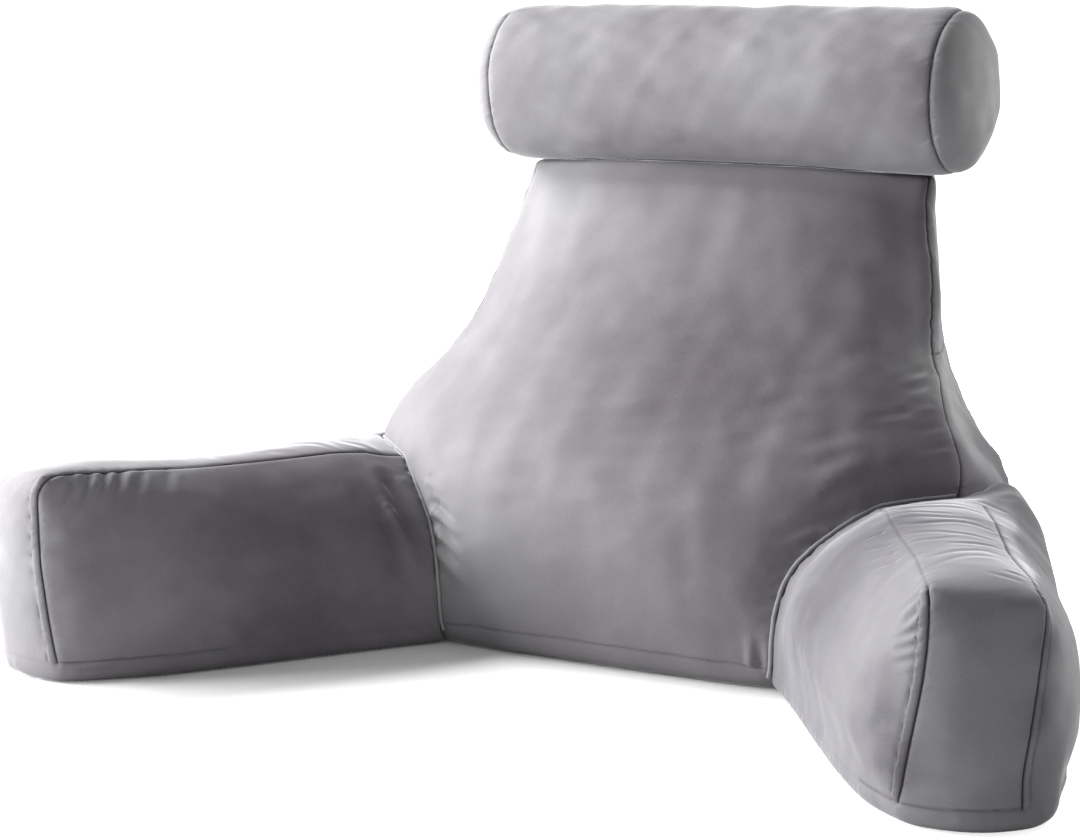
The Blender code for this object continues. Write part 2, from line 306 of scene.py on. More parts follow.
def even_out(mesh, rounds):
    """Smooths the cover without drawing it in: each pull inwards is followed by a push out."""
    mean_of = averaging(mesh)
    points = points_of(mesh)
    draw_in, push_out = 0.50, -0.52
    for turn in range(rounds):
        for pull in (draw_in, push_out):
            points = points + pull * (mean_of(points) - points)
    move_points(mesh, points)


def past_solid(outset, gaps):
    """How far a cover lies outside its solid: its outset, or less than half the gap to a neighbour."""
    return np.minimum(outset, 0.45 * gaps)[:, None]


def settle(cover, node, outset, gaps):
    """Brings the smoothed cover out to its solid again, or a little past it away from its neighbours."""
    mean_of = averaging(cover.data)
    tree = surface_tree(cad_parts[node].data)
    past = past_solid(outset, gaps)
    for turn in range(3):
        points = points_of(cover.data)
        hits = [tree.find_nearest(p) for p in points.tolist()]
        shift = np.array([hit[0] for hit in hits]) + past * normals_of(cover.data) - points
        for again in range(4):
            shift = mean_of(shift)
        move_points(cover.data, points + shift)


def plump(cover, most, fixed):
    """Fills the cover: cloth under pressure, let out no further than most, held where fixed is 1."""
    pressure = 4.0
    last_step = 20
    start = points_of(cover.data)
    filling = cover.modifiers.new("filling", "CLOTH")
    cloth = filling.settings
    cloth.quality = 4
    cloth.mass = 0.3
    cloth.tension_stiffness = 12.0
    cloth.compression_stiffness = 8.0
    cloth.shear_stiffness = 4.0
    cloth.bending_stiffness = 0.3
    cloth.use_pressure = True
    cloth.uniform_pressure_force = pressure
    cloth.effector_weights.gravity = 0.0
    filling.point_cache.frame_end = last_step
    for step in range(1, last_step + 1):
        bpy.context.scene.frame_set(step)
    filled = cover.evaluated_get(bpy.context.evaluated_depsgraph_get())
    moved = points_of(filled.to_mesh()) - start
    filled.to_mesh_clear()
    cover.modifiers.clear()
    bpy.context.scene.frame_set(1)
    mean_of = averaging(cover.data)
    for again in range(4):
        moved = mean_of(moved)
    length = np.linalg.norm(moved, axis=1, keepdims=True)
    moved *= np.minimum(1.0, most / np.maximum(length, 1e-9))
    move_points(cover.data, start + moved * (1.0 - fixed)[:, None])


def gap_to(points, nodes, reach):
    """How far each point is from the nearest of those solids, up to reach."""
    gaps = np.full(len(points), reach)
    for node in nodes:
        tree = surface_tree(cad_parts[node].data)
        gaps = np.minimum(gaps, [tree.find_nearest(p, reach)[3] or reach for p in points.tolist()])
    return gaps


def hug(cover, node, outset, gaps, reach):
    """Brings the cover back to its solid where it presses against a neighbour."""
    points = points_of(cover.data)
    tree = surface_tree(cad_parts[node].data)
    close = np.flatnonzero(gaps < reach)
    hits = [tree.find_nearest(p) for p in points[close].tolist()]
    past = past_solid(outset, gaps[close])
    solid = np.array([hit[0] for hit in hits]) + past * np.array([hit[1] for hit in hits])
    share = np.clip((1.0 - gaps[close] / reach) * 1.6, 0.0, 1.0)[:, None]
    points[close] += (solid - points[close]) * share
    move_points(cover.data, points)


def lumps(points, size, seed):
    """Soft unevenness of loose fibre, about a size across; mostly from -1 to 1."""
    chance = np.random.default_rng(seed)
    total = np.zeros(len(points))
    for wave in range(14):
        heading = chance.normal(size=3)
        heading /= np.linalg.norm(heading)
        length = size * chance.uniform(0.7, 1.5)
        total += np.sin(points @ heading * 2.0 * math.pi / length + chance.uniform(0.0, 2.0 * math.pi))
    return total / 3.2


def stuffed_cover(node, name, voxel, swell, neighbours, seed, outset, unevenness, shift=None):
    """A filled cushion: its solid's surface, plumped, uneven, held by the floor and by its neighbours.

    A shift gives how far the filling has slumped, for all points at once.
    """
    smoothing = 6
    floor_hold, neighbour_hold, hug_reach = 0.02, 0.03, 0.014
    large_lump, small_lump, small_share = 0.07, 0.03, 0.4
    cover = cover_of(node, name)
    remesh(cover, voxel)
    even_out(cover.data, smoothing)
    gaps = gap_to(points_of(cover.data), neighbours, neighbour_hold)
    settle(cover, node, outset, gaps)
    even_out(cover.data, smoothing)
    points = points_of(cover.data)
    on_floor = np.clip(1.0 - points[:, 2] / floor_hold, 0.0, 1.0)
    held = np.maximum(on_floor, (1.0 - gaps / neighbour_hold) ** 0.5)
    plump(cover, swell, held)
    filling = lumps(points, large_lump, seed) + small_share * lumps(points, small_lump, seed + 1)
    loose = (1.0 - held) * unevenness * filling
    move_points(cover.data, points_of(cover.data) + normals_of(cover.data) * loose[:, None])
    hug(cover, node, outset, gaps, hug_reach)
    if shift:
        points = points_of(cover.data)
        move_points(cover.data, points + shift(points))
    finer = cover.modifiers.new("finer", "SUBSURF")
    finer.levels = 1
    finer.render_levels = 1
    bake_modifiers(cover)
    return cover


def curve_through(corners, spacing):
    """Even points along a smooth curve through the corners."""
    corners = [Vector(c) for c in corners]
    line = []
    for n in range(len(corners) - 1):
        before, start = corners[max(n - 1, 0)], corners[n]
        end, after = corners[n + 1], corners[min(n + 2, len(corners) - 1)]
        steps = max(2, round((end - start).length / spacing))
        for step in range(steps):
            t = step / steps
            line.append(0.5 * (2.0 * start + (end - before) * t
                               + (2.0 * before - 5.0 * start + 4.0 * end - after) * t ** 2
                               + (3.0 * start - before - 3.0 * end + after) * t ** 3))
    line.append(corners[-1])
    return line


def laid_on(tree, corners, spacing=0.005, towards=None):
    """A line on the cover, with the cover's outward direction at each of its points.

    The curve through the corners is cast in one direction, or else goes to the nearest points.
    """
    curve = curve_through(corners, spacing)
    hits = [tree.ray_cast(p, towards) if towards else tree.find_nearest(p) for p in curve]
    hits = [hit for hit in hits if hit[0]]
    return np.array([hit[0] for hit in hits]), np.array([hit[1] for hit in hits])


def near_line(points, line, reach):
    """The points within reach of a line: gap to it, signed gap across it, place along it, share of it."""
    spots_of_line, outward = line
    low, high = spots_of_line.min(axis=0) - reach, spots_of_line.max(axis=0) + reach
    index = np.flatnonzero(((points > low) & (points < high)).all(axis=1))
    spots = points[index]
    steps = np.diff(spots_of_line, axis=0)
    lengths = np.linalg.norm(steps, axis=1)
    travelled = np.concatenate([[0.0], np.cumsum(lengths)])
    gap = np.full(len(index), reach)
    along = np.zeros(len(index))
    across = np.zeros(len(index))
    for n, (start, step, length) in enumerate(zip(spots_of_line, steps, lengths)):
        close = np.flatnonzero((np.abs(spots - start - step / 2.0) < reach + length).all(axis=1))
        share = np.clip((spots[close] - start) @ step / length ** 2, 0.0, 1.0)
        away = spots[close] - start - share[:, None] * step
        distance = np.linalg.norm(away, axis=1)
        nearer = distance < gap[close]
        chosen = close[nearer]
        gap[chosen] = distance[nearer]
        along[chosen] = travelled[n] + share[nearer] * length
        across[chosen] = np.sign(away[nearer] @ np.cross(outward[n], step / length)) * distance[nearer]
    hit = gap < reach
    return {"index": index[hit], "gap": gap[hit], "across": across[hit], "along": along[hit],
            "share": along[hit] / travelled[-1]}


def smooth_step(value, low, high):
    """0 below low, 1 above high, and a soft rise between them."""
    part = np.clip((value - low) / (high - low), 0.0, 1.0)
    return part * part * (3.0 - 2.0 * part)


def bell(value, middle, half_width):
    """1 at the middle, dying out softly on both sides."""
    return np.exp(-((value - middle) / half_width) ** 2)


def uneven(places, pitch, seed):
    """A wave along places, about a pitch long, that never repeats evenly; from -1 to 1."""
    chance = np.random.default_rng(seed)
    wave = np.zeros_like(places)
    for stretch in (0.55, 0.8, 1.0, 1.35, 2.1):
        wave += np.sin(places * 2.0 * math.pi / (pitch * stretch) + chance.uniform(0.0, 2.0 * math.pi))
    return wave / 3.0


def refine_near(cover, lines, reach):
    """Splits the cover's edges close to the lines, so that a seam or fold there comes out sharp."""
    points = points_of(cover.data)
    close = np.zeros(len(points), dtype=bool)
    for line in lines:
        close[near_line(points, line, reach)["index"]] = True
    fine = bmesh.new()
    fine.from_mesh(cover.data)
    fine.verts.ensure_lookup_table()
    chosen = [e for e in fine.edges if close[e.verts[0].index] and close[e.verts[1].index]]
    bmesh.ops.subdivide_edges(fine, edges=chosen, cuts=1, use_grid_fill=True)
    fine.to_mesh(cover.data)
    fine.free()


def mark(cover, name, index, amount, together=np.maximum):
    """Writes a value on some of the points, for the material."""
    marks = cover.data.attributes.get(name) or cover.data.attributes.new(name, "FLOAT", "POINT")
    values = np.empty(len(cover.data.vertices))
    marks.data.foreach_get("value", values)
    values[index] = together(values[index], amount)
    marks.data.foreach_set("value", values)


def brush_pile_and_paint_light(cover, pile_and_light_strokes):
    """Strokes the pile up (above 0, lighter) or down, in soft patches with a ragged edge: partly stroked
    pile, partly painted light and shade.
    """
    ragged_size, ragged_share, ragged_most = 0.03, 0.2, 0.006
    points = points_of(cover.data)
    everywhere = np.arange(len(points))
    ragged = np.stack([lumps(points, ragged_size, seed) for seed in (5, 6, 7)], axis=1)
    for x, y, z, size, amount in pile_and_light_strokes:
        frayed = points + min(ragged_share * size, ragged_most) * ragged
        far = np.linalg.norm(frayed - (x, y, z), axis=1)
        # Painted light and shade, partly stroked pile: the mark moves the base colour lighter or darker.
        mark(cover, "pile_lie_and_light", everywhere, amount * bell(far, 0.0, size), np.add)


def raise_points(cover, near, rise):
    """Lifts the points near a line off the cover, but never through the floor."""
    points = points_of(cover.data)
    points[near["index"]] += normals_of(cover.data)[near["index"]] * rise[:, None]
    points[:, 2] = np.maximum(points[:, 2], 0.0)
    move_points(cover.data, points)


def sew(cover, line, depth=0.0022, width=0.0018, gather=0.0005, dark=1.0, seed=1):
    """Draws the cover in along a seam, and gathers the cloth a little on both sides of it, with painted shade
    in the seam's crease.
    """
    pitch, fade, flat_by_thread, crease_shade_width = 0.011, 0.014, 0.004, 0.0011
    near = near_line(points_of(cover.data), line, fade * 3.0)
    gap = near["gap"]
    rise = -depth * np.exp(-gap / width)
    ripple = uneven(near["along"] + 0.5 * near["across"], pitch, seed)
    strength = 0.55 + 0.45 * uneven(near["along"], pitch * 7.0, seed + 7)
    rise += gather * ripple * strength * np.minimum(gap / flat_by_thread, 1.0) * np.exp(-gap / fade)
    raise_points(cover, near, rise)
    # Painted shade: a thin dark line in the seam's crease.
    mark(cover, "seam", near["index"], dark * bell(gap, 0.0, crease_shade_width))


def press_and_shade(cover, nodes, reach=0.006, dark=0.9, sink=0.0):
    """Lets the cover give way where a neighbour presses on it, with painted shade in the crease where they
    touch.
    """
    points = points_of(cover.data)
    touch = 1.0 - gap_to(points, nodes, reach) / reach
    # Painted shade where the neighbour is close.
    mark(cover, "seam", np.arange(len(points)), dark * touch)
    move_points(cover.data, points - normals_of(cover.data) * (sink * touch)[:, None])


def fold_band(cover, line, side, width=0.0075, height=0.0013, seed=1):
    """Lays the seam allowance flat on one side of a seam, with a stitch line along its far edge: a groove
    with painted shade in it.
    """
    sways, sway_pitch = 0.06, 0.03
    seam_edge, inner_edge, outer_edge = (0.0006, 0.0018), 0.0010, 0.0006
    stitch_offset, stitch_width, stitch_groove_shade = 0.0008, 0.0014, 0.35
    near = near_line(points_of(cover.data), line, width * 2.5)
    flank = near["across"] * side
    edge = width * (1.0 + sways * uneven(near["along"], sway_pitch, seed))
    band = smooth_step(flank, *seam_edge) * (1.0 - smooth_step(flank, edge - inner_edge, edge + outer_edge))
    groove = bell(flank, edge + stitch_offset, stitch_width)
    ends = smooth_step(near["share"], 0.0, 0.04) * (1.0 - smooth_step(near["share"], 0.96, 1.0))
    raise_points(cover, near, (height * band - 0.6 * height * groove) * ends)
    # Painted shade in the stitch groove.
    mark(cover, "seam", near["index"], stitch_groove_shade * groove * ends)


def fold(cover, line, rise, width, rooted=True):
    """A soft ridge, or a trough where rise is below 0.  A rooted one is strongest where it starts."""
    near = near_line(points_of(cover.data), line, width * 4.0)
    share = near["share"]
    ends = np.sin(math.pi * share) ** 0.7
    if rooted:
        ends = (1.0 - share) ** 0.8 * np.minimum(share / 0.08 + 0.3, 1.0)
    gap = near["gap"]
    lean = 1.0 + 0.35 * np.tanh(near["across"] / width)
    crest = bell(gap, 0.0, width)
    flanks = bell(gap, 1.9 * width, 0.9 * width)
    raise_points(cover, near, rise * ends * (crest - 0.42 * lean * flanks))


def mirrored(corners, side):
    return [(side * x, y, z) for x, y, z in corners]


def spread(points):
    """The backrest's sides stand out a little, and the right one slopes down to its arm at the back."""
    full_width_at = 0.15
    left, height = points[:, 0] < 0.0, points[:, 2]
    top = np.where(left, left_top_share, right_top_share)
    wide = np.where(left, left_stand * smooth_step(height, *left_stand_heights),
                    right_stand * smooth_step(height, *right_stand_heights))
    wide *= 1.0 - (1.0 - top) * smooth_step(height, *top_heights)
    slope = bell(height, dip_height, dip_half_width) * smooth_step(points[:, 1], *dip_depths)
    wide -= np.where(left, 0.0, right_dip) * slope
    return np.stack([wide * np.clip(points[:, 0] / full_width_at, -1.0, 1.0), 0.0 * wide, 0.0 * wide], axis=1)


backrest = stuffed_cover("backrest", "backrest_cushion", backrest_voxel, backrest_swell,
                         ("arm_left", "arm_right", "neck_roll"), 31, backrest_outset, backrest_unevenness,
                         spread)
tree = surface_tree(backrest.data)
front_base, *seams = [laid_on(tree, corners, 0.006)
                      for corners in (front_base_seam, back_base_seam, back_top_seam)]
gusset_seams = []
for side in (LEFT, RIGHT):
    seams.append(laid_on(tree, mirrored(side_seam, side)))
    seams.append(laid_on(tree, mirrored(back_side_seam, side), 0.006))
    gusset_seams.append(laid_on(tree, mirrored(gusset_seam, side)))
left_side_seam = seams[2]
folds = []
for table, rooted in ((front_folds, True), (belly_folds, False)):
    for start, end, rise, width in table:
        ends_of_fold = [(x, -0.6, z) for x, z in (start, end)]
        folds.append((laid_on(tree, ends_of_fold, 0.004, Vector((0.0, 1.0, 0.0))), rise, width, rooted))
refine_near(backrest, [front_base] + seams + gusset_seams, 0.008)
refine_near(backrest, [row[0] for row in folds], 0.010)
refine_near(backrest, seams[2:] + gusset_seams, 0.005)
sew(backrest, front_base, depth=0.0007, width=0.0012, gather=0.0002, dark=0.4)
for seed, seam in enumerate(seams):
    if seam is left_side_seam:
        sew(backrest, seam, depth=0.0012, dark=0.4, seed=seed)
    else:
        sew(backrest, seam, seed=seed)
for seed, seam in enumerate(gusset_seams, start=20):
    sew(backrest, seam, depth=0.0010, width=0.0015, gather=0.0003, dark=0.7, seed=seed)
for line, rise, width, rooted in folds:
    fold(backrest, line, rise, width, rooted)
press_and_shade(backrest, ("neck_roll",), sink=0.0015)


def nap_group():
    """Plush: dark where the pile points at the eye, light where it is brushed away, in soft patches. Its lie
    input, partly stroked pile and partly painted light and shade, moves it lighter or darker.
    """
    group = bpy.data.node_groups.new("plush_nap", "ShaderNodeTree")
    for name, kind, value in (("Dark", "NodeSocketColor", plush_dark),
                              ("Light", "NodeSocketColor", plush_light),
                              ("Lie_and_light", "NodeSocketFloat", 0.0),
                              ("Patch scale", "NodeSocketFloat", 13.0),
                              ("Patch strength", "NodeSocketFloat", 0.3),
                              ("Patch height", "NodeSocketFloat", 0.0005),
                              ("Pile scale", "NodeSocketFloat", 650.0),
                              ("Pile height", "NodeSocketFloat", 0.00012)):
        group.interface.new_socket(name, in_out="INPUT", socket_type=kind).default_value = value
    group.interface.new_socket("Color", in_out="OUTPUT", socket_type="NodeSocketColor")
    group.interface.new_socket("Height", in_out="OUTPUT", socket_type="NodeSocketFloat")
    given = group.nodes.new("NodeGroupInput")
    result = group.nodes.new("NodeGroupOutput")
    place = group.nodes.new("ShaderNodeTexCoord").outputs["Object"]

    def fine_noise(scale, detail):
        noise = group.nodes.new("ShaderNodeTexNoise")
        noise.inputs["Detail"].default_value = detail
        noise.inputs["Roughness"].default_value = 0.6
        noise.inputs["Distortion"].default_value = 0.4
        wire(group, place, noise.inputs["Vector"])
        wire(group, given.outputs[scale], noise.inputs["Scale"])
        centred = group.nodes.new("ShaderNodeMath")
        centred.operation = "SUBTRACT"
        centred.inputs[1].default_value = 0.5
        wire(group, noise.outputs["Fac"], centred.inputs[0])
        return centred.outputs[0]

    def scaled_sum(value, factor, offset):
        """value x factor + offset"""
        step = group.nodes.new("ShaderNodeMath")
        step.operation = "MULTIPLY_ADD"
        for socket, source in zip(step.inputs, (value, factor, offset)):
            if isinstance(source, float):
                socket.default_value = source
            else:
                wire(group, source, socket)
        return step.outputs[0]

    patches = fine_noise("Patch scale", 4.0)
    pile = fine_noise("Pile scale", 2.0)
    doubled = scaled_sum(patches, 2.0, 0.0)
    pile_lie_and_light = scaled_sum(doubled, given.outputs["Patch strength"], given.outputs["Lie_and_light"])
    pile_lie_and_light = scaled_sum(pile, 0.25, pile_lie_and_light)
    share = group.nodes.new("ShaderNodeClamp")
    share.inputs["Max"].default_value = 2.2
    wire(group, scaled_sum(pile_lie_and_light, 1.0, 0.5), share.inputs["Value"])
    mixed = group.nodes.new("ShaderNodeMix")
    mixed.data_type = "RGBA"
    mixed.clamp_factor = False
    wire(group, share.outputs["Result"], mixed.inputs["Factor"])
    wire(group, given.outputs["Dark"], mixed.inputs[6])
    wire(group, given.outputs["Light"], mixed.inputs[7])
    wire(group, mixed.outputs[2], result.inputs["Color"])
    pile_rise = scaled_sum(pile, given.outputs["Pile height"], 0.0)
    wire(group, scaled_sum(patches, given.outputs["Patch height"], pile_rise), result.inputs["Height"])
    return group


plush_nap = nap_group()


def velvet(name, patch_strength=0.16, patch_height=0.0004, pile_height=0.00012, lift=0.0, sheen=1.0,
           dark=plush_dark):
    """Grey plush; lift makes the whole piece lighter or darker. The lie mark adds stroked pile and painted
    light and shade; the seam mark adds painted shade in creases.
    """
    material = bpy.data.materials.new(name)
    material.use_nodes = True
    tree = material.node_tree
    surface = tree.nodes["Principled BSDF"]
    surface.inputs["Roughness"].default_value = 0.85
    surface.inputs["Specular IOR Level"].default_value = 0.15
    surface.inputs["Sheen Weight"].default_value = sheen
    surface.inputs["Sheen Roughness"].default_value = 0.22
    surface.inputs["Sheen Tint"].default_value = (0.93, 0.925, 0.955, 1.0)
    nap = tree.nodes.new("ShaderNodeGroup")
    nap.node_tree = plush_nap
    nap.inputs["Patch strength"].default_value = patch_strength
    nap.inputs["Patch height"].default_value = patch_height
    nap.inputs["Pile height"].default_value = pile_height
    nap.inputs["Dark"].default_value = dark
    # The lie mark: partly stroked pile, partly painted light and shade.
    pile_lie_and_light = tree.nodes.new("ShaderNodeAttribute")
    pile_lie_and_light.attribute_name = "pile_lie_and_light"
    lifted = tree.nodes.new("ShaderNodeMath")
    lifted.inputs[1].default_value = lift
    # The seam mark mixes in painted shade, in creases and where cushions press together.
    seam = tree.nodes.new("ShaderNodeAttribute")
    seam.attribute_name = "seam"
    crease_shaded = tree.nodes.new("ShaderNodeMix")
    crease_shaded.data_type = "RGBA"
    crease_shaded.inputs[7].default_value = painted_crease_shade
    bump = tree.nodes.new("ShaderNodeBump")
    bump.inputs["Distance"].default_value = 1.0
    wire(tree, pile_lie_and_light.outputs["Fac"], lifted.inputs[0])
    wire(tree, lifted.outputs[0], nap.inputs["Lie_and_light"])
    wire(tree, nap.outputs["Color"], crease_shaded.inputs[6])
    wire(tree, seam.outputs["Fac"], crease_shaded.inputs["Factor"])
    wire(tree, crease_shaded.outputs[2], surface.inputs["Base Color"])
    wire(tree, nap.outputs["Height"], bump.inputs["Height"])
    wire(tree, bump.outputs["Normal"], surface.inputs["Normal"])
    return material


def finish_cushion(cover, node, material):
    """Gives the cushion its velvet and sets it in the place of its solid."""
    cover.data.materials.append(material)
    cover.data.shade_smooth()
    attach(cover, "root")
    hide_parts(node)


brush_pile_and_paint_light(backrest, backrest_pile_and_light_strokes)
finish_cushion(backrest, "backrest", velvet("backrest_plush"))

# ---- arms ----
# Two cushions sewn to the backrest's sides.  The top and front are one strip, with a round corner,
# between an inner and an outer panel, and the seam allowance is folded flat beside the front seams.
arm_voxel = 0.0065
arm_swell = 0.004
arm_unevenness = 0.0003
arm_forward, arm_outward = (0.454, -0.891), (0.891, 0.454)
top_inner_seam = ((0.258, -0.040, 0.170), (0.281, -0.083, 0.178), (0.301, -0.125, 0.181),
                  (0.341, -0.201, 0.184), (0.381, -0.272, 0.187), (0.415, -0.347, 0.194),
                  (0.429, -0.375, 0.194))
front_inner_seam = ((0.429, -0.375, 0.194), (0.4345, -0.388, 0.182), (0.436, -0.391, 0.160),
                    (0.433, -0.393, 0.118), (0.427, -0.395, 0.080), (0.420, -0.395, 0.041),
                    (0.416, -0.390, 0.020))
top_outer_seam = ((0.3525, -0.030, 0.180), (0.406, -0.140, 0.180), (0.4515, -0.237, 0.182),
                  (0.505, -0.328, 0.186))
front_outer_seam = ((0.505, -0.328, 0.186), (0.512, -0.341, 0.176), (0.513, -0.346, 0.150),
                    (0.510, -0.351, 0.100), (0.506, -0.356, 0.050), (0.503, -0.358, 0.020))
arm_base_seam = ((0.180, -0.105, 0.020), (0.240, -0.180, 0.020), (0.310, -0.275, 0.020),
                 (0.375, -0.350, 0.020), (0.416, -0.390, 0.020), (0.462, -0.385, 0.020),
                 (0.503, -0.358, 0.020), (0.512, -0.300, 0.020), (0.480, -0.200, 0.020),
                 (0.430, -0.095, 0.020), (0.380, 0.010, 0.020), (0.345, 0.090, 0.020))

# Folds on the top strip, running across it: (forward, outward) places, rise and half width.
right_top_folds = (
    (((0.205, 0.228), (0.195, 0.261), (0.220, 0.289)), -0.0005, 0.0042),
    (((0.183, 0.202), (0.216, 0.223), (0.218, 0.249), (0.241, 0.295)), -0.0007, 0.0044),
    (((0.240, 0.210), (0.257, 0.236), (0.266, 0.266)), -0.0005, 0.0040),
    (((0.268, 0.212), (0.280, 0.240), (0.282, 0.285)), -0.0004, 0.0038),
    (((0.291, 0.212), (0.305, 0.235), (0.298, 0.266), (0.308, 0.295)), -0.0007, 0.0040),
    (((0.328, 0.214), (0.339, 0.236), (0.351, 0.264), (0.353, 0.292)), -0.0005, 0.0038),
    (((0.363, 0.215), (0.368, 0.241), (0.365, 0.258)), -0.0004, 0.0038),
    (((0.389, 0.243), (0.388, 0.263), (0.378, 0.291)), -0.0007, 0.0040),
    (((0.436, 0.221), (0.422, 0.251), (0.407, 0.285)), -0.0005, 0.0042),
    (((0.475, 0.221), (0.448, 0.248), (0.432, 0.288)), -0.0005, 0.0047),
    (((0.150, 0.320), (0.137, 0.340)), -0.0007, 0.0047),
    (((0.164, 0.296), (0.187, 0.324)), -0.0007, 0.0047),
    (((0.500, 0.262), (0.512, 0.290)), -0.0005, 0.0038),
    (((0.486, 0.276), (0.494, 0.298)), -0.0005, 0.0036))
left_top_folds = (
    (((0.183, 0.206), (0.189, 0.227), (0.203, 0.250)), -0.0007, 0.0058),
    (((0.217, 0.213), (0.217, 0.255)), -0.0005, 0.0058),
    (((0.224, 0.213), (0.240, 0.242), (0.265, 0.252)), -0.0006, 0.0055),
    (((0.268, 0.214), (0.287, 0.228), (0.305, 0.226)), -0.0004, 0.0052),
    (((0.345, 0.218), (0.352, 0.250), (0.345, 0.280)), -0.0003, 0.0052))
# Folds on the inner panel: (forward, height) places.
right_inner_folds = (
    (((0.292, 0.180), (0.280, 0.170)), -0.0010, 0.0030),
    (((0.342, 0.180), (0.322, 0.173), (0.304, 0.167)), -0.0011, 0.0030),
    (((0.373, 0.181), (0.346, 0.167)), -0.0011, 0.0030),
    (((0.398, 0.180), (0.370, 0.164)), -0.0012, 0.0032),
    (((0.526, 0.183), (0.506, 0.164)), -0.0022, 0.0034),
    (((0.534, 0.172), (0.515, 0.153)), -0.0024, 0.0034),
    (((0.538, 0.158), (0.510, 0.142)), -0.0022, 0.0032),
    (((0.539, 0.147), (0.514, 0.135)), -0.0018, 0.0032),
    (((0.539, 0.136), (0.520, 0.127)), -0.0015, 0.0030))
left_inner_folds = (
    (((0.191, 0.160), (0.186, 0.128), (0.178, 0.098), (0.171, 0.066)), -0.0050, 0.0080),
    (((0.209, 0.140), (0.200, 0.112), (0.188, 0.076)), 0.0026, 0.0050),
    (((0.219, 0.132), (0.208, 0.092), (0.197, 0.055)), -0.0026, 0.0065),
    (((0.238, 0.150), (0.226, 0.116)), -0.0010, 0.0070),
    (((0.510, 0.189), (0.522, 0.174), (0.530, 0.158)), -0.0022, 0.0050),
    (((0.492, 0.190), (0.508, 0.172), (0.524, 0.152)), -0.0026, 0.0044),
    (((0.473, 0.190), (0.491, 0.170), (0.504, 0.152)), -0.0022, 0.0042),
    (((0.458, 0.189), (0.480, 0.168), (0.496, 0.148)), -0.0020, 0.0046),
    (((0.437, 0.187), (0.452, 0.172), (0.466, 0.154)), -0.0012, 0.0044),
    (((0.410, 0.184), (0.428, 0.166)), -0.0009, 0.0050),
    (((0.521, 0.014), (0.499, 0.016), (0.480, 0.018)), -0.0016, 0.0030))

# Where the pile of the arms is stroked, as on the backrest, and painted light and shade: lighter on the left
# arm's top and front and on the right arm's outer side, darker on both inner panels.
left_pile_and_light_strokes = (
    (-0.46, -0.28, 0.22, 0.07, 0.60), (-0.42, -0.18, 0.22, 0.07, 0.65), (-0.34, -0.08, 0.21, 0.07, 0.18),
    (-0.46, -0.39, 0.11, 0.05, 0.48), (-0.39, -0.37, 0.12, 0.05, -0.18), (-0.30, -0.27, 0.02, 0.04, 0.12),
    (-0.46, -0.39, 0.03, 0.05, 0.20), (-0.28, -0.22, 0.08, 0.10, -0.35), (-0.22, -0.12, 0.11, 0.04, -0.20),
    (-0.36, -0.26, 0.17, 0.03, 0.15))
right_pile_and_light_strokes = (
    (0.28, -0.20, 0.12, 0.10, -0.37), (0.31, -0.13, 0.19, 0.05, -0.32), (0.395, -0.375, 0.080, 0.026, -0.28),
    (0.413, -0.392, 0.045, 0.020, -0.28), (0.400, -0.365, 0.112, 0.020, -0.18),
    (0.375, -0.345, 0.055, 0.022, -0.15), (0.46, -0.38, 0.17, 0.03, -0.12), (0.53, -0.29, 0.12, 0.05, 0.55),
    (0.47, -0.39, 0.04, 0.03, 0.15), (0.520, -0.345, 0.150, 0.020, -0.30),
    (0.515, -0.350, 0.100, 0.020, -0.30), (0.45, -0.26, 0.19, 0.04, 0.18))

# Where the arms differ: how far outside its solid each cover lies, which stretch of the base seam shows,
# how the top inner seam is sewn (depth, width, gather, darkness of its painted crease shade), and the look of
# the plush.
left_arm = {"side": LEFT, "word": "left", "outset": 0.003, "top_folds": left_top_folds,
            "inner_folds": left_inner_folds, "pile_and_light_strokes": left_pile_and_light_strokes, "shown_base": arm_base_seam[2:5],
            "top_sewing": (0.0018, 0.0015, 0.0003, 1.0), "sheen": 1.0, "dark": plush_dark}
right_arm = {"side": RIGHT, "word": "right", "outset": 0.001, "top_folds": right_top_folds,
             "inner_folds": right_inner_folds, "pile_and_light_strokes": right_pile_and_light_strokes, "shown_base": arm_base_seam[3:7],
             "top_sewing": (0.0007, 0.0012, 0.0002, 0.35), "sheen": 0.65, "dark": (0.054, 0.0495, 0.062, 1.0)}


def arm_place(forward, outward, height, side):
    """The place that lies so far forward and outward along that side's arm."""
    return (side * (forward * arm_forward[0] + outward * arm_outward[0]),
            forward * arm_forward[1] + outward * arm_outward[1], height)


def left_slump(forward, outward, height, high):
    """How much lower and wider the left arm lies: low in its middle and front corner, wide at both ends."""
    middle_low, outer_low, corner_low = 0.0045, 0.0105, 0.005
    rear_wide, front_wide = 0.007, 0.012
    lower = (middle_low + outer_low * smooth_step(outward, 0.21, 0.32)) * bell(forward, 0.345, 0.12)
    lower += corner_low * smooth_step(forward, 0.49, 0.53) * smooth_step(outward, 0.23, 0.29)
    wider = rear_wide * smooth_step(outward, 0.26, 0.32) * (1.0 - smooth_step(forward, 0.17, 0.30)) * high
    wider += front_wide * smooth_step(forward, 0.42, 0.52) * bell(height, 0.095, 0.07)
    return lower, wider


def right_slump(forward, outward, height, high):
    """The same for the right arm: rear shoulder high, outer side drawn in, front foot wide."""
    shoulder_high, outer_high, side_narrow, foot_wide = 0.006, 0.007, 0.008, 0.007
    outer_side = smooth_step(outward, 0.28, 0.34)
    higher = (shoulder_high + outer_high * smooth_step(outward, 0.30, 0.35)) * outer_side
    lower = -higher * (1.0 - smooth_step(forward, 0.12, 0.22))
    wider = -side_narrow * outer_side * bell(forward, 0.34, 0.12) * bell(height, 0.13, 0.06)
    wider += foot_wide * smooth_step(forward, 0.48, 0.53) * (1.0 - smooth_step(height, 0.01, 0.05))
    return lower, wider


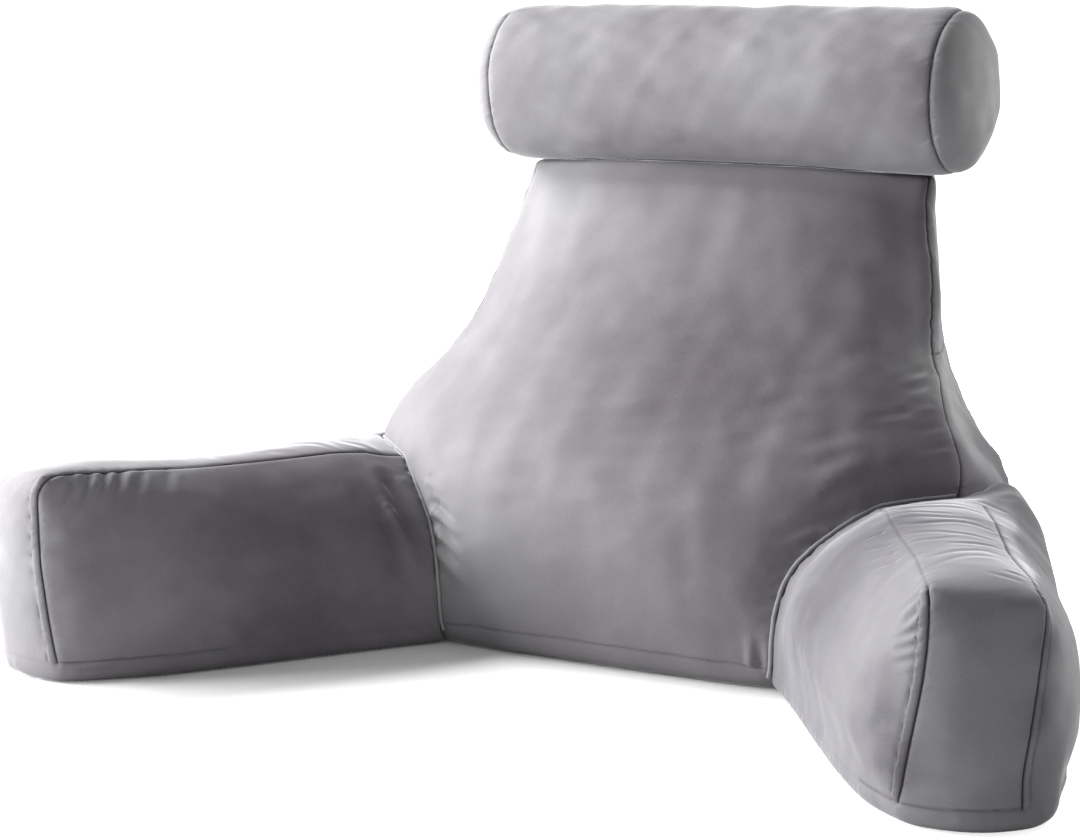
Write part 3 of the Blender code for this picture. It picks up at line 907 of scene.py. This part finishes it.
def sag(points, side):
    """How far the filling has slumped.  Both arms lie lower where they meet the backrest."""
    rear_low, rear_stretch, top_edge = 0.008, (0.14, 0.27), (0.10, 0.165)
    places, height = points[:, :2] * (side, 1.0), points[:, 2]
    forward, outward = places @ arm_forward, places @ arm_outward
    high = smooth_step(height, *top_edge)
    slump = left_slump if side == LEFT else right_slump
    lower, wider = slump(forward, outward, height, high)
    lower += rear_low * (1.0 - smooth_step(forward, *rear_stretch))
    return np.stack([side * wider, 0.0 * wider, -lower * high], axis=1)


for look in (left_arm, right_arm):
    side, word = look["side"], look["word"]
    seed = 50 + 10 * side
    arm = stuffed_cover("arm_" + word, "arm_cushion_" + word, arm_voxel, arm_swell, ("backrest",), seed,
                        look["outset"], arm_unevenness, lambda points: sag(points, side))
    tree = surface_tree(arm.data)
    top_inner, front_inner, top_outer, front_outer, base, shown_base = (
        laid_on(tree, mirrored(corners, side))
        for corners in (top_inner_seam, front_inner_seam, top_outer_seam, front_outer_seam, arm_base_seam,
                        look["shown_base"]))
    folds = []
    for places, rise, width in look["top_folds"]:
        corners = [arm_place(forward, outward, 1.0, side) for forward, outward in places]
        folds.append((laid_on(tree, corners, 0.004, Vector((0.0, 0.0, -1.0))), rise, width, False))
    outwards = Vector((side * arm_outward[0], arm_outward[1], 0.0))
    for places, rise, width in look["inner_folds"]:
        corners = [arm_place(forward, 0.0, height, side) for forward, height in places]
        folds.append((laid_on(tree, corners, 0.004, outwards), rise, width, True))
    refine_near(arm, (top_inner, front_inner, top_outer, front_outer, base), 0.009)
    refine_near(arm, [row[0] for row in folds], 0.008)
    refine_near(arm, (front_inner, front_outer), 0.010)
    sew(arm, top_inner, *look["top_sewing"])
    sew(arm, top_outer, depth=0.0011, width=0.0013, gather=0.0003, dark=0.6, seed=seed)
    sew(arm, front_inner, seed=seed + 1)
    sew(arm, front_outer, depth=0.0026, width=0.0024, seed=seed + 2)
    sew(arm, base, depth=0.0004, width=0.0012, gather=0.0, dark=0.1)
    sew(arm, shown_base, depth=0.0010, width=0.0014, gather=0.0, dark=0.5)
    fold_band(arm, front_inner, -1, seed=seed + 6)
    if side == RIGHT:
        fold_band(arm, front_outer, 1, width=0.0055, height=0.0008, seed=seed + 7)
    for line, rise, width, rooted in folds:
        fold(arm, line, rise, width, rooted)
    brush_pile_and_paint_light(arm, look["pile_and_light_strokes"])
    plush = velvet("arm_plush_" + word, patch_height=0.0001, pile_height=0.00004, sheen=look["sheen"],
                   dark=look["dark"])
    finish_cushion(arm, "arm_" + word, plush)

# ---- neck roll ----
# A filled tube with a domed disc sewn into each end.  It sits across the backrest's top edge.
roll_voxel = 0.0058
roll_swell = 0.003
roll_outset = 0.003
roll_unevenness = 0.0008
roll_seam_x = 0.239
roll_middle = (0.180, 0.5377)
roll_seam_radius = 0.074
ring_points = 90
# Where the pile of the roll is stroked, and painted light and shade: lighter on the right end disc, darker
# along the underside: side, depth, height, size, amount.
roll_pile_and_light_strokes = (
    (0.30, 0.17, 0.54, 0.06, 0.60), (0.20, 0.10, 0.55, 0.06, -0.33), (-0.145, 0.107, 0.564, 0.03, 0.12),
    (0.07, 0.11, 0.55, 0.03, 0.12), (-0.05, 0.10, 0.53, 0.03, -0.08), (-0.10, 0.13, 0.47, 0.05, -0.22),
    (0.00, 0.13, 0.47, 0.05, -0.22), (0.10, 0.13, 0.47, 0.05, -0.22), (0.00, 0.13, 0.61, 0.06, -0.10))

roll = stuffed_cover("neck_roll", "neck_roll_cushion", roll_voxel, roll_swell, ("backrest",), 71, roll_outset,
                     roll_unevenness)
tree = surface_tree(roll.data)
rings = []
for side in (LEFT, RIGHT):
    turn = [(side * roll_seam_x, roll_middle[0] + roll_seam_radius * math.cos(angle),
             roll_middle[1] + roll_seam_radius * math.sin(angle))
            for angle in np.linspace(0.0, 2.0 * math.pi, ring_points)]
    rings.append(laid_on(tree, turn))
refine_near(roll, rings, 0.008)
for seed, ring in enumerate(rings, start=80):
    sew(roll, ring, gather=0.0006, seed=seed)
press_and_shade(roll, ("backrest",))
brush_pile_and_paint_light(roll, roll_pile_and_light_strokes)
roll_plush = velvet("roll_plush", patch_strength=0.25, patch_height=0.0006, lift=0.27, sheen=0.4)
finish_cushion(roll, "neck_roll", roll_plush)

# ---- welts ----
# A narrow strip of the velvet, folded double and sewn in where each arm meets the backrest.
# How strongly each welt is pressed thin, from 0 to 1, and over which stretch it gets thin near its top end.
welt_voxel = 0.0011
left_pressed, right_pressed, end_pressed = 0.6, 0.1, 0.7
end_stretch = (0.215, 0.255)
welt_plush = velvet("welt_plush", lift=0.5)
for side, word, pressed in ((LEFT, "left", left_pressed), (RIGHT, "right", right_pressed)):
    welt = cover_of("welt_" + word, "welt_strip_" + word)
    remesh(welt, welt_voxel)
    even_out(welt.data, 8)
    mean_of = averaging(welt.data)
    points = points_of(welt.data)
    move_points(welt.data, points + sag(points, side))
    for again in range(12):
        points = points_of(welt.data)
        thinner = pressed + (end_pressed - pressed) * smooth_step(np.abs(points[:, :1]), *end_stretch)
        move_points(welt.data, points + thinner * (mean_of(points) - points))
    welt.data.materials.append(welt_plush)
    welt.data.shade_smooth()
    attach(welt, "root")
    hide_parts("welt_" + word)
